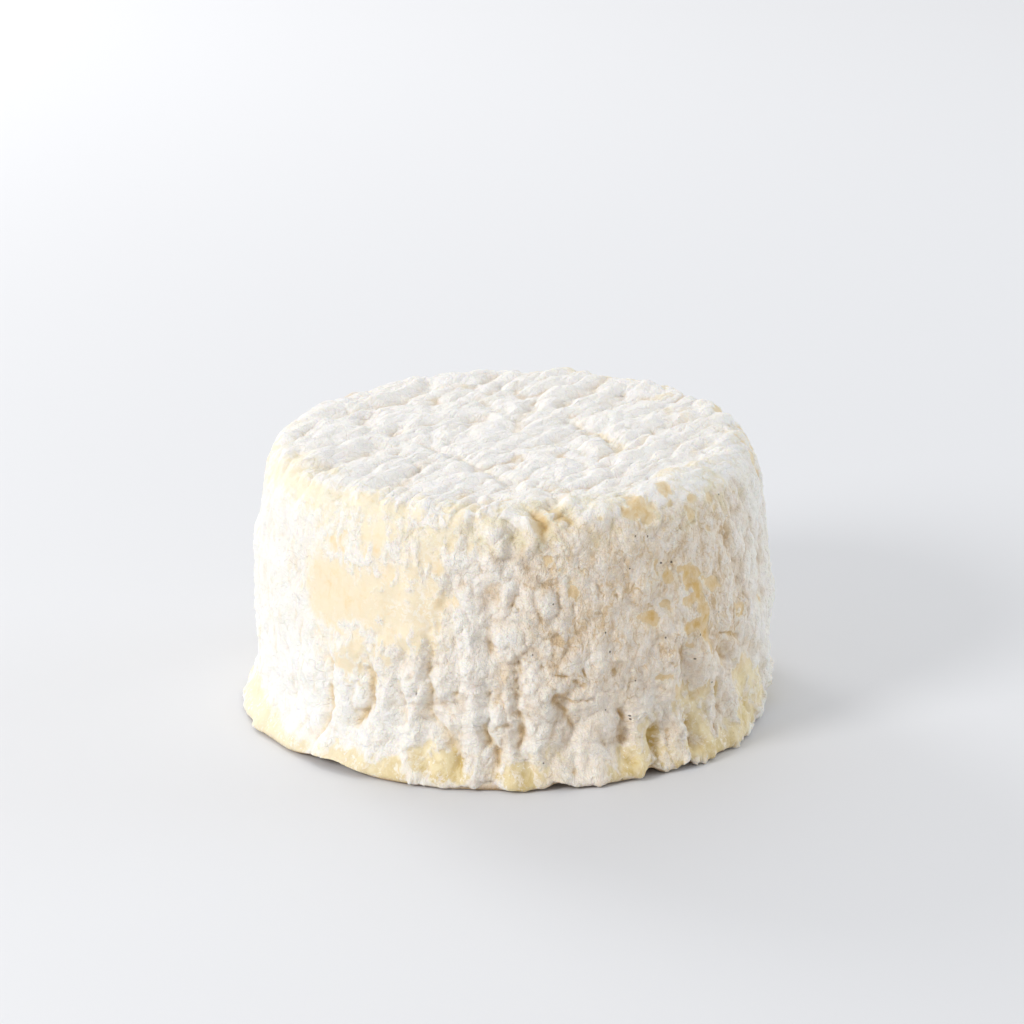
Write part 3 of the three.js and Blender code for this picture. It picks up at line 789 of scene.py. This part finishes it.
def reliefTree(guides):
    tree = bpy.data.node_groups.new("rind relief", "GeometryNodeTree")
    tree.interface.new_socket("Geometry", in_out="INPUT", socket_type="NodeSocketGeometry")
    tree.interface.new_socket("Geometry", in_out="OUTPUT", socket_type="NodeSocketGeometry")
    start = Wire(tree)
    geometry = start.node("NodeGroupInput")
    place = start.node("GeometryNodeInputPosition") * 1000
    normal = start.node("GeometryNodeInputNormal")
    rind = Rind(place)
    strayed = place.warped(6, 1.1, seed=21).warped(2, 0.65, seed=27) * mm

    def distanceTo(name):  # from a place that has strayed, so that no stroke is drawn straight
        settings = {"transform_space": "ORIGINAL"}
        lines = start.node("GeometryNodeObjectInfo", settings, {0: guides[name]}, "Geometry")
        near = {"Target": lines, "Source Position": strayed}
        return start.node("GeometryNodeProximity", {"target_element": "EDGES"}, near, "Distance") * 1000

    def stored(shape, name, value, kind="FLOAT"):
        sockets = {"Geometry": shape, "Name": name, "Value": value}
        return start.node("GeometryNodeStoreNamedAttribute", {"data_type": kind, "domain": "POINT"}, sockets)

    def across(strokes, name):
        return distanceTo(name) / strokes["reach"]

    crest, strand = across(crests, "crests").hump(), across(strands, "strands").hump()
    cleft, crease = across(clefts, "clefts").notch(), across(creases, "creases").notch()
    crack = across(cracks, "cracks").notch()
    cleft = cleft * place.noise(*noises["clefts"]).ramp(-0.6, 0.2, 0.6, 1.05)
    bareness = openings(rind, distanceTo)
    covered = mouldOver(bareness)
    spots = (distanceTo("spots") / spotReach).hump()
    lumps, _ = lumpsOver(rind, covered)
    pit = place.warped(3, 0.5, seed=71).noise(*noises["pits"])
    pit = pit.ramp(pits["from"], pits["to"]) * covered * (1 - rind.toTop) * rind.level("pits")
    pit = pit * rind.sector("pits").larger(0.25)
    grit = place.noise(*noises["grit"]) * coat["grit"]
    grit = grit + place.noise(*noises["dimples"]) * coat["dimples"]
    grit = grit * (1 - rind.toTop * 0.7) * (1 + rind.level("lowerFolds") * 0.4)
    relief = (1 - rind.toTop) * swellsOver(rind)
    relief = relief + rind.toTop * rind.radius.ramp(0, 12) * pillowsOver(rind) + scallopsOver(rind)
    relief = relief + crest * crests["rise"] + cleft * clefts["rise"] + crease * creases["rise"]
    relief = relief + crack * cracks["rise"] + strand * strands["rise"] + pit * pits["rise"]
    relief = relief + lumps + (covered * 0.8 + 0.2) * grit + covered * coat["thick"]
    # where the rind sinks; the colour later lays painted shade into these hollows
    hollow = lumps.ramp(0.1, -0.75).larger(cleft).larger(crease * 0.6).larger(crack).larger(pit)
    # the side's clefts and cracks, and the top's creases; on the top the colour paints shade along them
    lines = cleft.larger(across(cracks, "cracks").hump() * 0.72).larger(crease * rind.toTop * 0.8)
    lifted = slumped(place + normal * (relief * rind.level("grown")))
    x, y, z = lifted.split()
    made = start.node("ShaderNodeCombineXYZ", {}, {0: x, 1: y, 2: (z + archUnder(rind)).larger(0)})

    shape = stored(geometry, "drum", place, "FLOAT_VECTOR")
    shape = stored(shape, "line", lines)
    shape = stored(shape, "hollow", hollow)
    shape = stored(shape, "stain", across(stains, "stains").hump())
    shape = stored(shape, "bare", bareness)
    shape = stored(shape, "spot", spots)
    shape = start.node("GeometryNodeSetPosition", {}, {"Geometry": shape, "Position": made * mm})
    output = tree.nodes.new("NodeGroupOutput")
    tree.links.new(shape.socket, output.inputs[0])
    return tree


def growRind(wheel):
    undrawnFolds()
    undrawnBare()
    guides = {
        "crests": guide("crests", crests["paths"], onSide),
        "clefts": guide("clefts", clefts["paths"], onSide),
        "cracks": guide("cracks", cracks["paths"], onSide),
        "strands": guide("strands", strands["paths"], onSide),
        "creases": guide("creases", creases["paths"], onTop),
        "stains": guide("stains", stains["paths"], onTop),
    }
    for name, (_, _, _, paths) in bare.items():
        guides[name] = guide(name, paths, onSide)
    deselectAll()
    bpy.context.view_layer.objects.active = wheel
    grow = wheel.modifiers.new("relief", "NODES")
    grow.node_group = reliefTree(guides)
    bpy.ops.object.modifier_apply(modifier=grow.name)
    for lines in guides.values():
        bpy.data.objects.remove(lines)
    wheel.data.calc_loop_triangles()
    thin = wheel.modifiers.new("fewer faces", "DECIMATE")
    thin.ratio = min(1, drum["triangles"] / len(wheel.data.loop_triangles))
    bpy.ops.object.modifier_apply(modifier=thin.name)
    wheel.data.calc_loop_triangles()
    print("rind grown:", len(wheel.data.loop_triangles), "triangles")


wheel = turnDrum()
print("drum turned:", len(wheel.data.polygons), "faces")
growRind(wheel)
for face in wheel.data.polygons:
    face.use_smooth = True


finish = {
    "topMould": (0.905, 0.88, 0.845),
    # painted light: a near-white that lifts the shaded lower folds on the left
    "paintedFoldLight": (0.97, 0.955, 0.92),
    "mould": (0.905, 0.845, 0.765),
    "whiteMould": (0.925, 0.90, 0.845),
    "shaded": (0.80, 0.70, 0.57),  # painted shade in the folds of the top, and along its creases
    "film": (0.88, 0.78, 0.66),  # thin mould, with the paste showing through; also painted shade in the side's hollows and wrinkles
    "deepFilm": (0.73, 0.56, 0.36),
    "brownCleft": (0.62, 0.42, 0.17),
    "yellowCleft": (0.76, 0.60, 0.35),
    "stain": (0.88, 0.78, 0.60),
    # painted shade along the creases between the mould's lumps
    "creaseShade": (0.60, 0.45, 0.29),
    "paste": (0.835, 0.735, 0.55),
    "tanPaste": (0.72, 0.53, 0.28),
    "deepPaste": (0.82, 0.62, 0.33),
    "palePaste": (0.87, 0.785, 0.585),
    "footPaste": (0.84, 0.73, 0.47),
    "footAmber": (0.57, 0.41, 0.13),
    "footFilm": (0.90, 0.84, 0.68),
    "ochre": (0.62, 0.395, 0.12),
    "yellowed": (0.84, 0.76, 0.55),
    # warm streaks on the left, and painted shade in its hollows
    "warmStreaksAndShade": (0.88, 0.76, 0.57),
    "speck": (0.10, 0.08, 0.06),
    # painted shadow under the foot's edge
    "underEdgeShadow": (0.42, 0.26, 0.11),
}
cover = {  # the most that each tint hides of what is under it
    # painted highlight on the tops of the mould's lumps
    "crestHighlight": 0.65,
    "creaseShade": (0.42, 0.25),  # painted shade along the creases, on the side and on the top
    "yellowed": 0.8,
    "yellowedPaste": (0.6, 0.3),  # in front and on the right
    "line": 0.7,
    "stain": 0.75,
    "paleFoot": 0.8,
    "footFilm": 0.5,
    "ochre": 0.85,
    "paleSpots": 0.9,
    "underEdgeShadow": 0.85,
    "speck": 0.85,
}
skin = {
    "mouldRoughness": 0.9,
    "pasteRoughness": 0.5,
    "subsurface": 0.32,
    "subsurfaceRadius": (1.0, 0.8, 0.5),
    "subsurfaceScale": 0.7,
    "specular": 0.3,
    "bump": 0.3,
}


def rindMaterial():
    material = bpy.data.materials.new("bloomy rind")
    material.use_nodes = True
    tree = material.node_tree
    tree.nodes.clear()
    start = Wire(tree)

    def attribute(name, output="Fac"):
        return start.node("ShaderNodeAttribute", {"attribute_name": name}, output=output)

    rind = Rind(attribute("drum", "Vector"))
    place = rind.place
    blotch = place.noise(*noises["blotch"])
    mottle = place.noise(*noises["mottle"])
    fine = place.noise(*noises["fine"])
    fuzz = place.noise(*noises["fuzz"])
    bareness = attribute("bare") + fine * 0.25
    hollow = attribute("hollow")
    lines = attribute("line")
    lumps, creaseShade = lumpsOver(rind, mouldOver(bareness))
    side, toRight, toLeft = 1 - rind.toTop, rind.toRight, rind.toLeft
    creaseShade = creaseShade * bareness.ramp(0, -1.2) * (1 - toLeft * 0.6)
    haze = (rind.level("underShoulder") * toRight.mix(0.75, 0.25)).larger(toLeft * 0.55)
    haze = haze.larger(rind.level("nearGround") * 0.35)
    isBare = (bareness + mottle * 0.45 * haze).ramp(haze.mix(-0.14, -0.6), haze.mix(0.16, 1.0))
    veil = 1 - (bareness + mottle * 0.9 + fine * 0.5).ramp(0, 1.5)
    isBare = isBare * (1 - rind.level("mouldOver") * toRight.mix(0.25, 0.1)) * (1 - veil * toRight * 0.25)
    isFoot = (rind.z + blotch * 2 - toRight * 7).ramp(*levels["foot"])

    # Where the mould is thin, the paste shows through it. The same film colours are laid into the side's
    # hollows and wrinkle creases as painted shade.
    right = rind.sector("thin")
    back = rind.fromFront.ramp(100, 120) * place.noise(*noises["thin"]).ramp(-0.3, 0.5)
    thin = right.larger(back * 0.8) * side * rind.level("thin", 0.6, 1.08)
    strayed = place.warped(3, 0.8, seed=51)
    vein = strayed.noise(*noises["vein"]).maths("ABSOLUTE").ramp(0.05, 0) * mottle.ramp(0, 0.4)
    ribs = rind.matRows().billows(1.5, (4, 1, 3), 63, 0.5)
    wrinkles = rind.toTop.mix(strayed.billows(1.6, (1, 1, 2.2), 67, 0.5), ribs)
    web = strayed.noise(*noises["web"]).maths("ABSOLUTE").ramp(0.07, 0) * blotch.ramp(-0.1, 0.3) * side
    shade = blotch * 0.55 + mottle * 0.45 + fine * 0.15
    comb = strayed.noise(*noises["comb"]) * rind.level("comb")
    filmAndShade = thin * 0.64 + shade * (thin * 0.75 + 0.22)
    # Painted shade: the film colours gather in the hollows, less on the left, and in the creases of the fine
    # wrinkles.
    filmAndShade = filmAndShade + hollow.ramp(0.3, 1.1) * toLeft.mix(0.75, 0.3) + comb * (thin * 0.28 + 0.08)
    filmAndShade = filmAndShade + vein * (thin * 0.5 + 0.15) - web * 0.45
    filmAndShade = filmAndShade + wrinkles.ramp(0.45, 0.1) * (thin * 0.3 + 0.1) * side
    mould = toLeft.mix(finish["mould"], finish["whiteMould"])
    # Painted light: the lower folds on the left are lightened, to offset the shade that falls in them.
    mould = (toLeft * rind.level("paintedFoldLight")).mix(mould, finish["paintedFoldLight"])
    mould = rind.toTop.mix(mould, finish["topMould"])
    mould = filmAndShade.ramp(0, 0.6).mix(mould, finish["film"])
    mould = filmAndShade.ramp(0.5, 1.3).mix(mould, finish["deepFilm"])
    # Painted highlight: the tops of the mould's lumps on the side are whitened, as if lit.
    crestHighlight = lumps.ramp(0.05, 0.7) * (1 - right * 0.4) * side
    mould = (crestHighlight * cover["crestHighlight"]).mix(mould, finish["whiteMould"])
    # Painted shade: the hollows and the gaps between the ribs of the top are darkened toward a warm grey.
    topFoldShade = hollow.ramp(0.1, 0.85) * 0.6 + ribs.ramp(0.4, 0.05) * blotch.ramp(-0.4, 0.4) * 0.4
    mould = (topFoldShade * rind.toTop).mix(mould, finish["shaded"])
    mould = (bareness.ramp(-1, 0) * toLeft.mix(0.4, 0.2)).mix(mould, finish["paste"])
    # Warm streaks run down the left side; the same warm colour is laid into its hollows as painted shade.
    streaks = place.noise(*noises["streaks"]).ramp(0.15, 0.75) * 0.45
    mould = ((streaks + hollow * 0.35).smaller(0.7) * toLeft * side).mix(mould, finish["warmStreaksAndShade"])
    # Painted shade: a tan line along the creases between the mould's lumps.
    mould = (creaseShade * rind.toTop.mix(*cover["creaseShade"])).mix(mould, finish["creaseShade"])
    atShoulder = rind.level("shoulder") * rind.radius.ramp(40, 46) * rind.fromFront.ramp(140, 40)
    yellowed = (blotch * 0.6 + mottle * 0.7 + hollow * 0.6 + 0.1).ramp(-0.1, 0.8) * atShoulder
    mould = (yellowed * cover["yellowed"]).mix(mould, finish["yellowed"])
    # The clefts and cracks of the side take their own yellow to brown colour; the creases of the top take
    # painted shade.
    cleftColourAndTopShade = rind.toTop.mix(toRight.mix(finish["yellowCleft"], finish["brownCleft"]), finish["shaded"])
    mould = (lines.ramp(0.35, 0.9) * cover["line"]).mix(mould, cleftColourAndTopShade)
    stain = (attribute("stain") + mottle * 0.3 + blotch * 0.25).ramp(0.15, 0.9) * rind.toTop
    mould = (stain * cover["stain"]).mix(mould, finish["stain"])

    # The bare paste is yellow at the foot, ochre in the windows on the right, and blooms over in places. In
    # its hollows the paste and the foot are darkened to deeper amber as painted shade.
    amber = (mottle * 0.7 + blotch * 0.6 + rind.level("amber") * 0.3).ramp(-0.2, 0.6)
    # Painted shade: hollows push the paste to deeper paste and the foot to darker amber, and keep the film
    # off the foot.
    amberAndHollowShade = (amber * 0.3 + hollow.ramp(0.4, 1) * 0.5).smaller(1)
    foot = (amber * 0.75 + toRight * 0.2 + hollow * 0.7).smaller(1)
    foot = foot.mix(finish["footPaste"], finish["footAmber"])
    foot = (toLeft * cover["paleFoot"]).mix(foot, finish["palePaste"])
    filmed = (mottle * 0.8 + fine * 0.4 - hollow * 0.6).ramp(-0.3, 0.5) * toRight
    foot = (filmed * cover["footFilm"]).mix(foot, finish["footFilm"])
    paste = toRight.mix(finish["paste"], finish["tanPaste"])
    paste = amberAndHollowShade.mix(paste, finish["deepPaste"])
    upper = rind.level("yellowed") * toRight.mix(*cover["yellowedPaste"])
    paste = upper.mix(paste, finish["yellowed"])
    paste = isFoot.mix(paste, foot)
    spot = (attribute("spot") + mottle * 0.8 + fine * 0.4).ramp(0, 1) * rind.level("spots", 0.6, 1)
    paste = (spot * toRight * cover["ochre"]).mix(paste, finish["ochre"])
    paste = (spot * toLeft * cover["paleSpots"]).mix(paste, finish["deepPaste"])
    bloom = (mottle * 0.7 + fine * 0.5 + blotch * 0.5).ramp(0.05, 0.45) * bareness.ramp(1.6, 0.3)
    bloom = bloom.larger((fine + mottle * 0.5).ramp(0.2, 0.4) * isFoot * bareness.ramp(2.4, 0.8))
    flecked = (rind.bearing + blotch * 12).between(*sectors["flecks"]) * rind.level("flecks")
    bloom = bloom.larger((fine * 0.9 + mottle * 0.6).ramp(-0.05, 0.2) * flecked * 0.8)
    bloom = bloom * (1 - spot) * (1 - haze * (1 - isFoot) * 0.6)
    bloom = bloom * toRight.mix(0.75, 0.5).larger(isFoot * 0.8)
    paste = bloom.mix(paste, toRight.mix(finish["whiteMould"], finish["mould"]))
    colour = isBare.mix(mould, paste)
    # Painted shadow: the lowest millimetre of the foot, where it overhangs the ground, is darkened brown.
    colour = (rind.level("underEdgeShadow") * cover["underEdgeShadow"]).mix(colour, finish["underEdgeShadow"])
    specks = {"Vector": place * 0.27, "Scale": 1.0}
    speck = place.node("ShaderNodeTexVoronoi", {"feature": "F1"}, specks, "Distance")
    speck = speck.ramp(0.07, 0.05) * right * side
    colour = (speck * cover["speck"]).mix(colour, finish["speck"])

    # Painted fine shading: a grain in the brightness stands in for the tiny shadows of the mould's fuzz.
    grain = (fuzz + place.noise(*noises["grain"])) * rind.toTop.mix(toRight.mix(0.02, 0.055), 0.025)
    colour = colour * (grain * (1 - isBare * 0.7) + 1)
    height = fine * 0.5 + fuzz * rind.toTop.larger(toLeft).mix(0.4, 0.25)
    height = height + wrinkles * rind.toTop.mix(0.25, 0.6) + comb * side * 0.3
    height = (height - vein * 0.4 + web * 0.4 - creaseShade * 0.15) * (1 - isBare * 0.8)
    dents = {"Strength": 1.0, "Distance": skin["bump"] * mm, "Height": height}
    bump = start.node("ShaderNodeBump", {}, dents)
    surface = start.node(
        "ShaderNodeBsdfPrincipled",
        {"subsurface_method": "RANDOM_WALK"},
        {
            "Base Color": colour,
            "Roughness": isBare.mix(skin["mouldRoughness"], skin["pasteRoughness"]),
            "Subsurface Weight": skin["subsurface"],
            "Subsurface Radius": skin["subsurfaceRadius"],
            "Subsurface Scale": skin["subsurfaceScale"] * mm,
            "Specular IOR Level": skin["specular"],
            "Normal": bump,
        },
    )
    output = tree.nodes.new("ShaderNodeOutputMaterial")
    tree.links.new(surface.socket, output.inputs["Surface"])
    return material


wheel.data.materials.append(rindMaterial())
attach(wheel, "root")
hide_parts("cheese_wheel")
print("rind finished")


studio = {
    "tableWidth": 6.0,
    "tableColour": (0.715, 0.72, 0.74),
    "tableRoughness": 0.6,
    "world": 0.65,
    "sensor": 36,
    "focal": 147.66,
    "elevation": 18.45,
    "distance": 0.8867,
    "target": (-0.0005, 0, 0.030),
    "shift": (1.32 / 1024, 47.15 / 1024),
}
white = (1, 1, 1)
lights = {  # place, aim, size, power and colour
    "key": ((-0.765, -0.65, 0.60), (0, 0, 0.03), 0.4, 6.7, white),
    "back": ((-0.62, 0.86, 0.5), (0, 0.05, 0.04), 0.45, 3.8, white),
    "wash": ((-0.1, 1.1, 0.9), (0, 1.2, 0), 1.2, 3.0, white),
    "fill": ((0.88, 0.25, 0.2), (0, 0, 0.03), 0.6, 3.1, (0.80, 0.90, 1)),
}


def setTable():
    deselectAll()
    bpy.ops.mesh.primitive_plane_add(size=studio["tableWidth"])
    table = bpy.context.object
    table.name = "table"
    material = bpy.data.materials.new("pale table")
    material.use_nodes = True
    shader = material.node_tree.nodes["Principled BSDF"]
    shader.inputs["Base Color"].default_value = (*studio["tableColour"], 1)
    shader.inputs["Roughness"].default_value = studio["tableRoughness"]
    table.data.materials.append(material)


def addLight(name, place, aim, size, power, colour):
    deselectAll()
    bpy.ops.object.light_add(type="AREA", location=place)
    light = bpy.context.object
    light.name = name
    light.data.shape = "DISK"
    light.data.size = size
    light.data.energy = power
    light.data.color = colour
    light.rotation_mode = "QUATERNION"
    light.rotation_quaternion = (Vector(aim) - Vector(place)).to_track_quat("-Z", "Y")


def setCamera():
    tilt = math.radians(studio["elevation"])
    forward = Vector((0, math.cos(tilt), -math.sin(tilt)))
    deselectAll()
    bpy.ops.object.camera_add(location=Vector(studio["target"]) - forward * studio["distance"])
    camera = bpy.context.object
    camera.rotation_mode = "QUATERNION"
    camera.rotation_quaternion = forward.to_track_quat("-Z", "Y")
    camera.data.sensor_width = studio["sensor"]
    camera.data.lens = studio["focal"]
    camera.data.shift_x, camera.data.shift_y = studio["shift"]
    bpy.context.scene.camera = camera


def setWorld():
    world = bpy.data.worlds.new("studio")
    world.use_nodes = True
    background = world.node_tree.nodes["Background"]
    background.inputs["Color"].default_value = (*white, 1)
    background.inputs["Strength"].default_value = studio["world"]
    bpy.context.scene.world = world


setTable()
for name, settings in lights.items():
    addLight(name, *settings)
setCamera()
setWorld()
bpy.context.scene.view_settings.view_transform = "Standard"
print("studio set")
